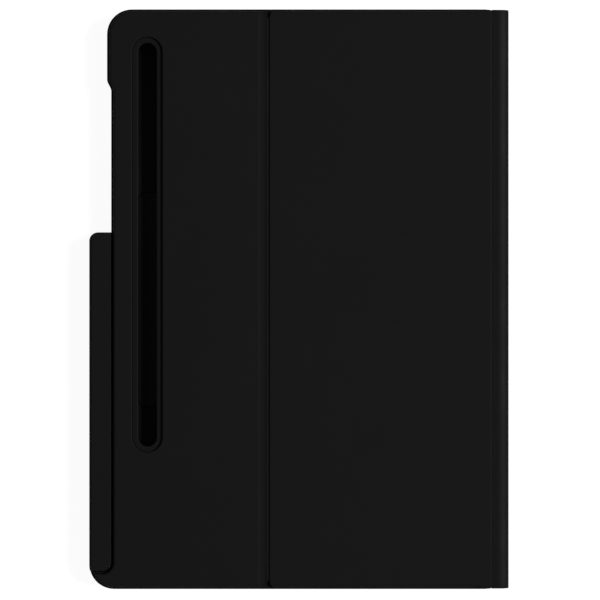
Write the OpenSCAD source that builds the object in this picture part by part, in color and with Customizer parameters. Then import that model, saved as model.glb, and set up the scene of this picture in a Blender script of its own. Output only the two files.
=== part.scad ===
// Keyboard case for a slim tablet, closed: keyboard below, tablet tray above, back up.
// +Y is the user's left hand, -X is the user's side and +X is the spine.
// The origin is on the table, under the middle of the closed case.

/* [Tablet] */
// Long side of the tablet that the tray holds
tablet_l = 253.8; // [240:0.1:270]
// Short side of the tablet
tablet_w = 165.3; // [160:0.1:172]
// Thickness of the tablet
tablet_t = 6.3; // [5.5:0.1:8]
// Room left round the tablet on each side
tablet_clear = 0.3; // [0.2:0.05:0.6]

/* [Tray] */
// Wall of the tray round the tablet
tray_wall = 1.3; // [1:0.1:2]
// Back plate of the tray
tray_back_t = 1; // [0.8:0.1:1.5]
// Cloth lining behind the tablet
lining_t = 0.3; // [0.2:0.05:0.6]
// Height of the corner lips that hold the tablet in
lip_t = 0.6; // [0.5:0.1:0.9]
// How far the corner lips reach over the glass
lip_w = 1.2; // [0.8:0.1:2]
// Length of each corner lip along both walls
lip_l = 24; // [14:1:40]
// Corner radius of the case on the side away from the spine
corner_r = 11; // [9:0.5:14]
// Corner radius of the tray beside the spine
spine_corner_r = 2.5; // [2.2:0.1:4]
// Corner radius of the tablet bay
bay_corner_r = 9.7; // [6:0.1:11]
// Step of the outline where the side keys are reached
side_key_step = 1.85; // [1.2:0.05:3]
// Distance from the top edge to where that step starts
side_key_start = 31; // [25:0.5:45]
// Length of the S-curve into that step
side_key_run = 5.4; // [4:0.1:8]
// Length of the window over the side keys
side_key_window_l = 48; // [30:1:56]
// Height of the window over the side keys
side_key_window_h = 5.2; // [4.5:0.1:6]
// Width of the window over the charging port
port_window_w = 15; // [10:0.5:24]
// Height of the window over the charging port
port_window_h = 5.2; // [4.5:0.1:6]
// Length of each loudspeaker slit
speaker_slit_l = 22; // [10:1:40]
// Height of each loudspeaker slit
speaker_slit_h = 1.6; // [1:0.1:2.5]
// Distance of the loudspeaker slits from the port's middle
speaker_slit_off = 52; // [40:1:60]

/* [Camera and pen slot] */
// Width of the slot
slot_w = 8.2; // [6:0.1:12]
// Length of the slot
slot_l = 178.7; // [120:0.1:200]
// Distance from the outline's widest edge beside the slot to the slot's middle
slot_in = 17.95; // [15:0.05:26]
// Distance from the top edge to the slot's end
slot_top = 15; // [12:0.1:30]
// Width of the moulded ring round the slot
ring_w = 2.6; // [2:0.1:4]
// Depth of the ring below the cover
ring_sink = 0.5; // [0.3:0.1:1]
// Width of the step inside the ring
ring_step_w = 0.7; // [0.4:0.1:1.2]
// Depth of the step inside the ring
ring_step_t = 0.7; // [0.4:0.1:1.2]

/* [Pen holder] */
// Width of the holder beside the tray
holder_w = 9.7; // [9:0.1:12]
// Length of the holder
holder_l = 150.2; // [120:0.1:160]
// Distance from the top edge to the holder's open end
holder_top = 98.9; // [96:0.1:110]
// Wall of the holder
holder_wall = 0.8; // [0.6:0.05:1.2]
// Closed end of the holder
holder_end_t = 1.6; // [1:0.1:3]
// Corner radius of the open end, seen from the back
holder_corner_r = 4; // [3:0.1:6]
// Radius along the outer edges of the holder
holder_edge_r = 1.2; // [1:0.1:4]
// How far the holder stands up past the tray's back
holder_rise = 1.6; // [0:0.1:2.2]

/* [Covers] */
// Thickness of the outer cover skins
skin_t = 0.8; // [0.5:0.05:1.2]
// Thickness of the stiffening boards
board_t = 1; // [0.8:0.1:1.5]
// Thickness of the soft inner facings
facing_t = 0.4; // [0.3:0.05:0.6]
// How far the back covers stay inside the tray's edge
cover_inset = 1.1; // [0.6:0.05:2]
// Width of the flap that folds out as the stand
flap_w = 98.4; // [85:0.1:110]
// Width of the flap's free end that is as long as the spine
flap_end_w = 5.5; // [3:0.1:9]
// Corner radius of the flap at the crease
flap_corner_r = 2.7; // [1:0.1:6]
// Width of the thinned strip of skin in the crease
crease_w = 0.8; // [0.75:0.05:1.1]
// Thickness of the strip of skin in the crease
crease_t = 0.5; // [0.3:0.05:0.7]
// Clearance under the flap
flap_clear = 0.35; // [0.3:0.05:0.6]
// Gap between the flap's free edge and the land beside it
land_gap = 0.15; // [0.1:0.05:0.4]

/* [Spine] */
// Width from the tray's edge to the outside of the spine
fold_zone_w = 7.7; // [7:0.1:12]
// Outer radius of both folds
fold_r = 3; // [2.6:0.1:4]
// How much shorter the spine is at each end
spine_inset = 0.4; // [0.2:0.05:1]
// Gap between the boards of the spine and its folds
fold_ease = 0.3; // [0.2:0.05:0.6]

/* [Keyboard base] */
// How far the keyboard stays inside the tray's edge
base_inset = 0.3; // [0.2:0.05:1]
// Floor of the keyboard shell
base_floor_t = 0.7; // [0.5:0.05:1]
// Side wall of the keyboard shell
base_wall = 1.2; // [0.8:0.1:2]
// Thickness of the top deck
deck_t = 0.8; // [0.6:0.05:1]
// Gap between the shell and the lower fold
base_back_gap = 1.5; // [1:0.1:3]
// Steel plate under the keys
plate_t = 0.3; // [0.2:0.05:0.5]
// Membrane circuit
membrane_t = 0.3; // [0.2:0.05:0.5]
// Gap between the key tops and the tablet's glass
glass_gap = 0.7; // [0.7:0.05:1.2]

/* [Keys] */
// Distance from the deck's short sides to the keys
key_side_margin = 4.45; // [3:0.05:8]
// Depth of the function row
function_row_d = 9.5; // [8.5:0.1:12]
// Gap between neighbouring key tops
key_gap = 2.4; // [2:0.1:3]
// Corner radius of a key
key_r = 1.2; // [0.6:0.1:1.6]
// Travel of a key
key_travel = 1.3; // [0.8:0.05:1.4]
// Height of a key above the deck
key_proud = 0.9; // [0.6:0.05:1.2]
// Wall of a hollow key
key_wall = 0.8; // [0.6:0.05:1]
// Roof of a hollow key
key_roof = 0.9; // [0.7:0.05:1]
// Clearance of a key in the deck
key_clear = 0.35; // [0.3:0.05:0.5]
// Gap left under a key that is pressed down
key_floor_gap = 0.2; // [0.1:0.05:0.4]
// Diameter of the post under a key
post_d = 1.6; // [1.2:0.1:2]
// Bore of a rubber dome
dome_bore_d = 2.4; // [2.2:0.1:2.8]
// Outer diameter of a rubber dome
dome_d = 3.6; // [3.2:0.1:3.8]
// Room left between a dome and a key that is pressed down
dome_clear = 0.3; // [0.2:0.05:0.5]
// Distance from the deck's back edge to the function row
key_field_in = 8; // [6:0.1:10]

/* [Touchpad] */
// Width of the touchpad
pad_w = 95; // [70:1:110]
// Depth of the touchpad
pad_d = 50; // [35:1:54]
// Distance between the touchpad and the keys
pad_gap = 10; // [5:0.5:12]
// Corner radius of the touchpad
pad_r = 3; // [1:0.1:5]
// Distance from the deck's front edge to the touchpad
palm_margin = 11.4; // [8:0.1:14]
// Thickness of the touchpad's sensor board
sensor_t = 0.6; // [0.4:0.05:0.8]
// How far the touchpad clicks down
pad_travel = 0.3; // [0.2:0.05:0.4]
// Side of the touchpad's click switch
click_switch_w = 6; // [4:0.5:8]

/* [Electronics] */
// Length of the battery along the case
battery_l = 58; // [40:1:62]
// Width of the battery
battery_w = 38; // [25:1:44]
// Room left over the battery
battery_clear = 0.4; // [0.3:0.05:0.8]
// Length of the controller board along the case
board_l = 62; // [50:1:68]
// Width of the controller board
controller_w = 40; // [30:1:44]
// Thickness of the controller board
controller_t = 0.6; // [0.5:0.05:0.8]
// Width of the charging socket
socket_w = 8.9; // [8.5:0.1:9.2]
// Height of the charging socket
socket_h = 3.1; // [2.8:0.05:3.2]
// Room left over the charging socket, the tallest part inside
socket_clear = 0.1; // [0.1:0.05:0.5]
// Depth of the charging socket
socket_l = 7.3; // [6:0.1:9]
// Metal of the charging socket
socket_wall = 0.3; // [0.2:0.05:0.4]
// Length of the power switch's knob
switch_l = 3; // [2:0.1:5]
// Height of the power switch's knob
switch_h = 1.2; // [0.8:0.1:1.4]
// Travel of the power switch
switch_travel = 2; // [1:0.1:3]
// Diameter of a status light
light_d = 1.5; // [1:0.1:2]
// Length of a magnet in the keyboard's front edge
magnet_l = 12; // [6:0.5:20]
// Width of a magnet in the keyboard's front edge
magnet_w = 4; // [2:0.1:4.5]
// Thickness of a magnet in the keyboard's front edge
magnet_t = 1.5; // [1:0.1:2]
// Length of a magnet in the flap
flap_magnet_l = 20; // [10:1:30]
// Width of a magnet in the flap
flap_magnet_w = 6; // [4:0.5:8]

/* [Hidden] */
$fn = 64;
eps = 0.01;
cut = 1;
key_least_r = 0.2;
fold_corner_r = 0.4;
side_key_steps = 14;

// Plan of the case
case_l = tablet_l + 2 * (tablet_clear + tray_wall);
tray_w = tablet_w + 2 * (tablet_clear + tray_wall);
case_w = holder_w + tray_w + fold_zone_w;
case_x0 = -case_w / 2;
case_x1 = case_w / 2;
tray_x0 = case_x0 + holder_w;
tray_x1 = tray_x0 + tray_w;
shoulder_x0 = tray_x0 - side_key_step;
half_l = case_l / 2;
side_key_y0 = half_l - side_key_start - side_key_run;
land_x1 = case_x1 - fold_r;

// Heights, from the table up
base_z = skin_t + base_floor_t;
membrane_z = base_z + plate_t;
key_floor_z = membrane_z + membrane_t;
deck_z0 = skin_t + socket_h + socket_clear;
deck_z1 = deck_z0 + deck_t;
key_top_z = deck_z1 + key_proud;
key_bottom_z = key_floor_z + key_floor_gap + key_travel;
dome_h = key_top_z - key_roof - key_travel - dome_clear - key_floor_z;
battery_t = deck_z0 - base_z - battery_clear;
glass_z = key_top_z + glass_gap;
rim_z = glass_z - lip_t;
lining_z = glass_z + tablet_t;
bay_z1 = lining_z + lining_t;
tray_z1 = bay_z1 + tray_back_t;
flap_z0 = tray_z1 + flap_clear;
flap_board_z = flap_z0 + facing_t;
cover_z = flap_board_z + board_t;
case_h = cover_z + skin_t;

// Folds: the pivot keeps a bent strip's length when it is laid flat
strip_r = fold_r - skin_t / 2;
pivot_in = fold_r - strip_r * PI / 4;
spine_t = skin_t + board_t + facing_t;
spine_z0 = fold_r;
spine_z1 = case_h - fold_r;

// Crease and flap
flap_x0 = tray_x1 - flap_w;
crease_x = flap_x0 - crease_w;

// Keyboard base
base_x0 = tray_x0 + base_inset;
base_x1 = land_x1 - base_back_gap;
base_half = half_l - base_inset;
inner_half = base_half - base_wall;
row_units = 15;
field_half = base_half - key_side_margin;
key_pitch = 2 * field_half / row_units;
pad_x0 = base_x0 + palm_margin;
pad_x1 = pad_x0 + pad_d;
pad_x = (pad_x0 + pad_x1) / 2;
letter_rows = 5;
field_x0 = pad_x1 + pad_gap;
field_x1 = base_x1 - key_field_in;
row_pitch = (field_x1 - function_row_d - field_x0) / letter_rows;
field_margin = 0.8;
rib_t = 1;
rib_in = 2;
rib_x1 = field_x0 - rib_in;
rib_gap_l = 14;
parts_in = 12;
parts_x1 = rib_x1 - rib_t - parts_in;
battery_end_gap = 12.5;
battery_y0 = inner_half - battery_end_gap - battery_l;
board_end_gap = 1;
controller_y1 = -inner_half + board_end_gap + board_l;
controller_top = base_z + controller_t;
// Chips on the controller board: distance from its back edge and inner end, width, length, height
chips = [[17, 9, 7, 7, 0.9], [8, 16, 4, 6, 0.8], [30, 26, 6, 10, 0.8]];
tail_in = 12;
tail_over = 5;
tail_y = controller_y1 - tail_in;
tail_w = 9;
tail_t = 0.15;
lead_in = 4;
lead_x = parts_x1 - min(battery_w, controller_w) + lead_in;
lead_w = 2.4;
lead_t = 0.4;
socket_in = 8;
socket_x = parts_x1 - socket_in;
socket_r = 1.4;
socket_sink = 0.4;
switch_pitch = 18;
switch_x = socket_x - switch_pitch;
switch_z = (base_z + deck_z0) / 2;
switch_flange = 0.5;
switch_flange_t = 0.7;
switch_clear = 0.3;
switch_room = 3;
switch_proud = 0.2;
light_clear = 0.1;
light_pitch = 6;
light_in = 4;
light_x = parts_x1 - light_in;
light_ys = [for (i = [4:6]) controller_y1 - i * light_pitch];
tongue_w = 6.6;
tongue_h = 0.7;
tongue_l = 5;
magnet_gap = 0.9;
magnet_x0 = base_x0 + base_wall + magnet_gap;
magnet_end_in = 24.2;
magnet_pitch = 42;
magnet_y = base_half - magnet_end_in;
magnet_ys = [-magnet_y, magnet_pitch - magnet_y, magnet_y - magnet_pitch, magnet_y];

// Slot
slot_x = shoulder_x0 + slot_in;
slot_y1 = half_l - slot_top;
slot_y0 = slot_y1 - slot_l;
ring_seam = 0.1;

// Pen holder
holder_y1 = half_l - holder_top;
holder_y0 = holder_y1 - holder_l;
holder_seam = 0.3;
holder_h = holder_w;
holder_z1 = tray_z1 + holder_rise;
holder_z0 = holder_z1 - holder_h;
holder_bore_r = 1.6;

// Flap magnets and their catches
catch_t = 0.5;
flap_magnet_in = 9;
flap_magnet_x = tray_x1 - flap_magnet_in;
flap_magnet_y = 62;

// Keys: each is [x0, x1, y0, y1], before the gap between keys is taken off
function_keys = 14;
function_unit = row_units / function_keys;
function sum_first(v, n) = n <= 0 ? 0 : v[n - 1] + sum_first(v, n - 1);
function ones(n) = [for (i = [1:n]) 1];
function row_x1(r) = r == 0 ? field_x1 : field_x1 - function_row_d - (r - 1) * row_pitch;
function row_x0(r) = r == 0 ? field_x1 - function_row_d : row_x1(r) - row_pitch;
function unit_y(s) = field_half - s * key_pitch;
function key_box(r, s0, s1) = [row_x0(r), row_x1(r), unit_y(s1), unit_y(s0)];
function key_boxes(r, start, widths) = [
  for (i = [0:len(widths) - 1])
    let (s = start + sum_first(widths, i)) key_box(r, s, s + widths[i])
];
function near_half(k) = [k[0], (k[0] + k[1]) / 2, k[2], k[3]];
function far_half(k) = [(k[0] + k[1]) / 2, k[1], k[2], k[3]];

function_row = key_boxes(0, 0, [for (i = [1:function_keys]) function_unit]);
number_row = key_boxes(1, 0, ones(13));
backspace = key_box(1, 13, row_units);
tab = key_box(2, 0, 1.5);
top_letters = key_boxes(2, 1.5, concat(ones(12), [1.5]));
caps_lock = key_box(3, 0, 1.75);
home_letters = key_boxes(3, 1.75, ones(11));
enter = key_box(3, 12.75, row_units);
left_shift = key_box(4, 0, 2.25);
bottom_letters = key_boxes(4, 2.25, ones(10));
right_shift = key_box(4, 12.25, row_units);
control = key_box(5, 0, 1.25);
fn_key = key_box(5, 1.25, 2.25);
command = key_box(5, 2.25, 3.25);
left_alt = key_box(5, 3.25, 4.5);
space = key_box(5, 4.5, 10);
right_alt = key_box(5, 10, 11);
language = key_box(5, 11, 12);
left_arrow = key_box(5, 12, 13);
up_arrow = far_half(key_box(5, 13, 14));
down_arrow = near_half(key_box(5, 13, 14));
right_arrow = key_box(5, 14, row_units);
all_keys = concat(
  function_row, number_row, top_letters, home_letters, bottom_letters,
  [backspace, tab, caps_lock, enter, left_shift, right_shift, control, fn_key, command,
   left_alt, space, right_alt, language, left_arrow, up_arrow, down_arrow, right_arrow]
);

// Colours
soft_black = [0.095, 0.095, 0.098];
shell_black = [0.075, 0.075, 0.08];
lining_grey = [0.17, 0.17, 0.18];
key_black = [0.12, 0.12, 0.125];
steel = [0.62, 0.63, 0.65];
circuit_green = [0.05, 0.28, 0.16];

// ---- Plan shapes ----

// Rectangle with one radius on its -X corners and another on its +X corners
module plate_2d(x0, x1, y0, y1, rl, rr) {
  translate([x0 + rl, y0]) square([x1 - x0 - rl - rr, y1 - y0]);
  translate([x0, y0 + rl]) square([rl + eps, y1 - y0 - 2 * rl]);
  translate([x1 - rr - eps, y0 + rr]) square([rr + eps, y1 - y0 - 2 * rr]);
  for (y = [y0 + rl, y1 - rl]) translate([x0 + rl, y]) circle(r = rl);
  for (y = [y0 + rr, y1 - rr]) translate([x1 - rr, y]) circle(r = rr);
}

module rounded_2d(x0, x1, y0, y1, r) {
  plate_2d(x0, x1, y0, y1, r, r);
}

// Upright slot with full-round ends, grown by g all round
module slot_2d(g = 0) {
  r = slot_w / 2 + g;
  translate([slot_x - r, slot_y0 + slot_w / 2]) square([2 * r, slot_l - slot_w]);
  for (y = [slot_y0 + slot_w / 2, slot_y1 - slot_w / 2]) translate([slot_x, y]) circle(r = r);
}

// The widest outline: it only sets the two big corners on the side away from the spine
module corners_2d(i) {
  intersection() {
    rounded_left_2d(shoulder_x0 + i, i);
    translate([case_x0, side_key_y0]) square([case_w, half_l - side_key_y0]);
  }
  intersection() {
    rounded_left_2d(case_x0 + i, i);
    translate([case_x0, -half_l]) square([case_w, half_l + side_key_y0 + eps]);
  }
}

module rounded_left_2d(x0, i) {
  plate_2d(x0, tray_x1 - i, -half_l + i, half_l - i, corner_r - i, max(spine_corner_r - i, fold_corner_r));
}

// Outline with square outer corners: a foot closes the pen holder's end with a round inner
// corner, and an S-curve leads from the wide top down to the side keys
module body_2d(i) {
  r = holder_corner_r;
  curve = [
    for (k = [0:side_key_steps])
      [tray_x0 + i - side_key_step * (1 - cos(180 * k / side_key_steps)) / 2,
       side_key_y0 + side_key_run * k / side_key_steps]
  ];
  difference() {
    polygon(concat(
      [[tray_x1 - i, -half_l + i], [case_x0 + i, -half_l + i], [case_x0 + i, holder_y0 - i],
       [tray_x0 - r, holder_y0 - i], [tray_x0 - r, holder_y0 + r], [tray_x0 + i, holder_y0 + r]],
      curve,
      [[shoulder_x0 + i, half_l - i], [tray_x1 - i, half_l - i]]
    ));
    translate([tray_x0 - r, holder_y0 + r]) circle(r = r + i);
  }
}

// Outline of the tray, drawn in by i
module tray_2d(i = 0) {
  intersection() {
    body_2d(i);
    corners_2d(i);
  }
}

module bay_2d(i = 0) {
  rounded_2d(
    tray_x0 + tray_wall + i, tray_x1 - tray_wall - i,
    -half_l + tray_wall + i, half_l - tray_wall - i, bay_corner_r
  );
}

module base_2d(i = 0) {
  plate_2d(base_x0 + i, base_x1 - i, -base_half + i, base_half - i, corner_r - i, spine_corner_r - i);
}

module flap_2d() {
  plate_2d(
    flap_x0, tray_x1, -half_l + cover_inset, half_l - cover_inset, flap_corner_r, fold_corner_r
  );
  plate_2d(
    tray_x1 - flap_end_w, tray_x1, -half_l + spine_inset, half_l - spine_inset,
    (cover_inset - spine_inset) / 2, fold_corner_r
  );
}

module key_2d(k, grow = 0) {
  g = key_gap / 2 - grow;
  rounded_2d(k[0] + g, k[1] - g, k[2] + g, k[3] - g, max(key_r + grow, key_least_r));
}

// Solid between two heights
module slab(z0, z1) {
  translate([0, 0, z0]) linear_extrude(z1 - z0) children();
}

// Box from its corners
module box(x0, x1, y0, y1, z0, z1) {
  translate([x0, y0, z0]) cube([x1 - x0, y1 - y0, z1 - z0]);
}

// An X-Z outline drawn along the length of the case
module along_case(y0, y1) {
  translate([0, y1, 0]) rotate([90, 0, 0]) linear_extrude(y1 - y0) children();
}

// ---- Keyboard base ----

module base_skin() {
  color(soft_black) slab(0, skin_t)
    plate_2d(base_x0, land_x1, -base_half, base_half, corner_r, fold_corner_r);
}

module base_shell() {
  color(shell_black) difference() {
    union() {
      slab(skin_t, base_z) base_2d();
      slab(skin_t, deck_z0) difference() {
        base_2d();
        base_2d(base_wall);
      }
      difference() {
        box(rib_x1 - rib_t, rib_x1, -inner_half - eps, inner_half + eps, base_z - eps, deck_z0);
        box(rib_x1 - 2 * rib_t, rib_x1 + rib_t, tail_y - rib_gap_l / 2, tail_y + rib_gap_l / 2,
          base_z, deck_z0 + eps);
      }
    }
    socket_room(key_clear / 2);
    switch_slot();
  }
}

module socket_room(g) {
  box(socket_x - socket_w / 2 - g, socket_x + socket_w / 2 + g, -base_half - cut,
    -base_half + socket_l + cut, skin_t - eps, deck_z0 + eps);
}

module switch_slot() {
  l = switch_l / 2 + switch_clear;
  h = switch_h / 2 + switch_clear;
  box(switch_x - l, switch_x + switch_travel + l, -base_half - cut, -inner_half + cut,
    switch_z - h, switch_z + h);
}

module keyboard_deck() {
  color(shell_black) slab(deck_z0, deck_z1) difference() {
    base_2d();
    for (k = all_keys) key_2d(k, key_clear);
    rounded_2d(pad_x0 - key_clear, pad_x1 + key_clear, -pad_w / 2 - key_clear,
      pad_w / 2 + key_clear, pad_r + key_clear);
    for (y = light_ys) translate([light_x, y]) circle(d = light_d + 2 * light_clear);
  }
}

module key_support_plate() {
  color(steel) slab(base_z, membrane_z) field_2d();
}

module membrane_circuit() {
  color([0.5, 0.55, 0.5]) slab(membrane_z, key_floor_z) field_2d();
}

module field_2d() {
  translate([field_x0 - field_margin, -field_half - field_margin])
    square([field_x1 - field_x0 + 2 * field_margin, 2 * (field_half + field_margin)]);
}

module rubber_domes() {
  color([0.8, 0.8, 0.78]) for (k = all_keys) at_key(k, key_floor_z) difference() {
    cylinder(d = dome_d, h = dome_h, $fn = 32);
    translate([0, 0, -cut]) cylinder(d = dome_bore_d, h = dome_h + 2 * cut, $fn = 32);
  }
}

module at_key(k, z) {
  translate([(k[0] + k[1]) / 2, (k[2] + k[3]) / 2, z]) children();
}

module membrane_tail() {
  color([0.72, 0.5, 0.2])
    box(parts_x1 - tail_over, field_x0, tail_y - tail_w / 2, tail_y + tail_w / 2,
      key_floor_z, key_floor_z + tail_t);
}

module controller_board() {
  color(circuit_green) difference() {
    union() {
      box(parts_x1 - controller_w, parts_x1, -inner_half + board_end_gap, controller_y1,
        base_z, controller_top);
      for (c = chips)
        box(parts_x1 - c[0] - c[2], parts_x1 - c[0], controller_y1 - c[1] - c[3],
          controller_y1 - c[1], controller_top - eps, controller_top + c[4]);
    }
    socket_room(key_clear);
    box(switch_x - switch_l, switch_x + switch_travel + switch_l, -base_half, -inner_half + switch_room,
      base_z - eps, deck_z0);
  }
}

module battery_pack() {
  color([0.35, 0.36, 0.38])
    box(parts_x1 - battery_w, parts_x1, battery_y0, battery_y0 + battery_l, base_z, base_z + battery_t);
}

module battery_lead() {
  color([0.55, 0.08, 0.06])
    box(lead_x, lead_x + lead_w, controller_y1, battery_y0, base_z, base_z + lead_t);
}

module usb_c_socket() {
  color(steel) difference() {
    socket_body(0, -base_half + socket_sink, -base_half + socket_l);
    socket_body(socket_wall, -base_half - cut, -base_half + socket_l - socket_wall);
  }
}

module socket_body(wall, y0, y1) {
  along_case(y0, y1)
    rounded_2d(socket_x - socket_w / 2 + wall, socket_x + socket_w / 2 - wall,
      skin_t + wall, skin_t + socket_h - wall, socket_r - wall);
}

module usb_c_tongue() {
  y1 = -base_half + socket_l - socket_wall;
  z = skin_t + socket_h / 2;
  color([0.05, 0.05, 0.05])
    box(socket_x - tongue_w / 2, socket_x + tongue_w / 2, y1 - tongue_l, y1,
      z - tongue_h / 2, z + tongue_h / 2);
}

module power_switch_knob() {
  color([0.3, 0.3, 0.31]) {
    box(switch_x - switch_l / 2, switch_x + switch_l / 2, -base_half - switch_proud,
      -inner_half + switch_clear + eps, switch_z - switch_h / 2, switch_z + switch_h / 2);
    box(switch_x - switch_l / 2 - switch_flange, switch_x + switch_l / 2 + switch_flange,
      -inner_half + switch_clear, -inner_half + switch_clear + switch_flange_t,
      switch_z - switch_h / 2, switch_z + switch_h / 2);
  }
}

module status_lights() {
  color([0.8, 0.85, 0.8]) for (y = light_ys)
    translate([light_x, y, controller_top])
      cylinder(d = light_d, h = deck_z1 - controller_top, $fn = 32);
}

module base_magnets() {
  color(steel) for (y = magnet_ys)
    box(magnet_x0, magnet_x0 + magnet_w, y - magnet_l / 2, y + magnet_l / 2, base_z, base_z + magnet_t);
}

// ---- Touchpad ----

module pad_2d() {
  rounded_2d(pad_x0, pad_x1, -pad_w / 2, pad_w / 2, pad_r);
}

module touchpad_plate() {
  color([0.14, 0.14, 0.145]) slab(deck_z0, deck_z1) pad_2d();
}

module touchpad_sensor() {
  color(circuit_green) slab(deck_z0 - sensor_t, deck_z0) pad_2d();
}

module touchpad_click_switch() {
  color(steel)
    box(pad_x - click_switch_w / 2, pad_x + click_switch_w / 2, -click_switch_w / 2,
      click_switch_w / 2, base_z, deck_z0 - sensor_t - pad_travel - key_floor_gap);
}

// ---- Keys ----

module key_cap(k) {
  color(key_black) difference() {
    slab(key_bottom_z, key_top_z) key_2d(k);
    slab(key_bottom_z - cut, key_top_z - key_roof) key_2d(k, -key_wall);
  }
  color(key_black) at_key(k, key_bottom_z)
    cylinder(d = post_d, h = key_top_z - key_roof - key_bottom_z + eps, $fn = 32);
}

module key_caps(boxes) {
  for (k = boxes) key_cap(k);
}

// ---- Spine and folds ----

// Quarter ring of skin round one long edge of the spine, in the fold_r square above z0
module fold_2d(z, z0) {
  intersection() {
    difference() {
      translate([land_x1, z]) circle(r = fold_r);
      translate([land_x1, z]) circle(r = fold_r - skin_t);
    }
    translate([land_x1, z0]) square([fold_r, fold_r]);
  }
}

module lower_fold_strip() {
  color(soft_black) along_case(-half_l + spine_inset, half_l - spine_inset)
    fold_2d(spine_z0, 0);
}

module upper_fold_strip() {
  color(soft_black) along_case(-half_l + spine_inset, half_l - spine_inset)
    fold_2d(spine_z1, spine_z1);
}

module spine_layer(x1, t, ease) {
  box(x1 - t, x1, -half_l + spine_inset + ease, half_l - spine_inset - ease,
    spine_z0 + ease, spine_z1 - ease);
}

module spine_skin() {
  color(soft_black) spine_layer(case_x1, skin_t, 0);
}

module spine_board() {
  color(shell_black) spine_layer(case_x1 - skin_t, board_t, fold_ease);
}

module spine_facing() {
  color(lining_grey) spine_layer(case_x1 - skin_t - board_t, facing_t, fold_ease);
}

// ---- Tablet tray ----

module tray_shell() {
  color(shell_black) difference() {
    union() {
      slab(rim_z, tray_z1) tray_2d();
      slab(bay_z1, tray_z1) land_2d(fold_ease);
    }
    difference() {
      slab(rim_z - cut, bay_z1) bay_2d();
      slab(rim_z - 2 * cut, glass_z) corner_lips_2d();
    }
    slab(rim_z - cut, tray_z1 + cut) slot_2d();
    side_key_window();
    port_window();
    speaker_slits();
    slab(tray_z1 - catch_t, tray_z1 + cut) flap_magnets_2d(ring_seam);
  }
}

module corner_lips_2d() {
  difference() {
    union() {
      for (x = [tray_x0, tray_x1 - lip_l], y = [-half_l, half_l - lip_l])
        translate([x, y]) square(lip_l);
    }
    bay_2d(lip_w);
  }
}

module land_2d(ease) {
  translate([tray_x1 - spine_corner_r, -half_l + spine_inset])
    square([land_x1 - ease - tray_x1 + spine_corner_r, case_l - 2 * spine_inset]);
}

module side_key_window() {
  y0 = (holder_y1 + side_key_y0 - side_key_window_l) / 2;
  box(tray_x0 - cut, tray_x0 + tray_wall + cut, y0, y0 + side_key_window_l,
    rim_z - cut, rim_z + side_key_window_h);
}

module port_window() {
  x = (tray_x0 + tray_x1) / 2;
  box(x - port_window_w / 2, x + port_window_w / 2, -half_l - cut, -half_l + tray_wall + cut,
    rim_z - cut, rim_z + port_window_h);
}

module speaker_slits() {
  x = (tray_x0 + tray_x1) / 2;
  z = glass_z + tablet_t / 2 - speaker_slit_h / 2;
  for (side = [-1, 1], end = [-1, 1])
    box(x + side * speaker_slit_off - speaker_slit_l / 2, x + side * speaker_slit_off + speaker_slit_l / 2,
      end * (half_l - tray_wall / 2) - tray_wall, end * (half_l - tray_wall / 2) + tray_wall,
      z, z + speaker_slit_h);
}

module tray_lining() {
  color(lining_grey) slab(lining_z, bay_z1) difference() {
    bay_2d(tablet_clear);
    slot_2d(tablet_clear);
  }
}

module pen_holder() {
  r = holder_corner_r - holder_seam;
  y0 = holder_y0 + holder_seam;
  color(shell_black) difference() {
    intersection() {
      slab(holder_z0, holder_z1) intersection() {
        corners_2d(0);
        union() {
          translate([case_x0, y0]) square([holder_w - r, holder_y1 - holder_corner_r - y0]);
          translate([tray_x0 - r - eps, y0 + r]) square([r + eps, holder_y1 - y0 - r]);
          translate([case_x0 + holder_corner_r, y0 + r])
            square([holder_w - holder_corner_r, holder_y1 - y0 - r]);
          translate([case_x0 + holder_corner_r, holder_y1 - holder_corner_r])
            circle(r = holder_corner_r);
          translate([tray_x0 - r, y0 + r]) circle(r = r);
        }
      }
      along_case(-half_l, half_l)
        plate_2d(case_x0, tray_x0, holder_z0, holder_z1, holder_edge_r, 0);
    }
    along_case(holder_y0 + holder_end_t + holder_seam, holder_y1 + cut)
      rounded_2d(case_x0 + holder_wall, tray_x0 - holder_wall, holder_z0 + holder_wall,
        holder_z1 - holder_wall, holder_bore_r);
  }
}

module slot_ring() {
  color(shell_black) difference() {
    slab(tray_z1, case_h - ring_sink) slot_2d(ring_w);
    slab(tray_z1 - cut, case_h) slot_2d();
    slab(case_h - ring_sink - ring_step_t, case_h) slot_2d(ring_step_w);
  }
}

// Fixed part of the back, from the pen holder's side to the crease
module fixed_cover(z0, z1) {
  slab(z0, z1) difference() {
    intersection() {
      tray_2d(cover_inset);
      translate([case_x0, -half_l]) square([crease_x - case_x0, 2 * half_l]);
    }
    slot_2d(ring_w + ring_seam);
  }
}

module back_skin() {
  color(soft_black) fixed_cover(cover_z, case_h);
}

module back_board() {
  color(shell_black) fixed_cover(tray_z1, cover_z);
}

// Narrow land between the flap's free edge and the upper fold
module land_layer(z0, z1, ease) {
  box(tray_x1 + land_gap, land_x1 - ease, -half_l + spine_inset, half_l - spine_inset, z0, z1);
}

module land_board() {
  color(shell_black) land_layer(tray_z1, cover_z, fold_ease);
}

module land_skin() {
  color(soft_black) land_layer(cover_z, case_h, 0);
}

module flap_magnets_2d(g = 0) {
  for (y = [-flap_magnet_y, flap_magnet_y])
    translate([flap_magnet_x - flap_magnet_w / 2 - g, y - flap_magnet_l / 2 - g])
      square([flap_magnet_w + 2 * g, flap_magnet_l + 2 * g]);
}

module flap_catches() {
  color(steel) slab(tray_z1 - catch_t, tray_z1) flap_magnets_2d();
}

module crease_strip() {
  y = half_l - cover_inset - flap_corner_r;
  color(soft_black) box(crease_x, flap_x0, -y, y, cover_z, cover_z + crease_t);
}

// ---- Stand flap ----

module flap_skin() {
  color(soft_black) slab(cover_z, case_h) flap_2d();
}

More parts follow.
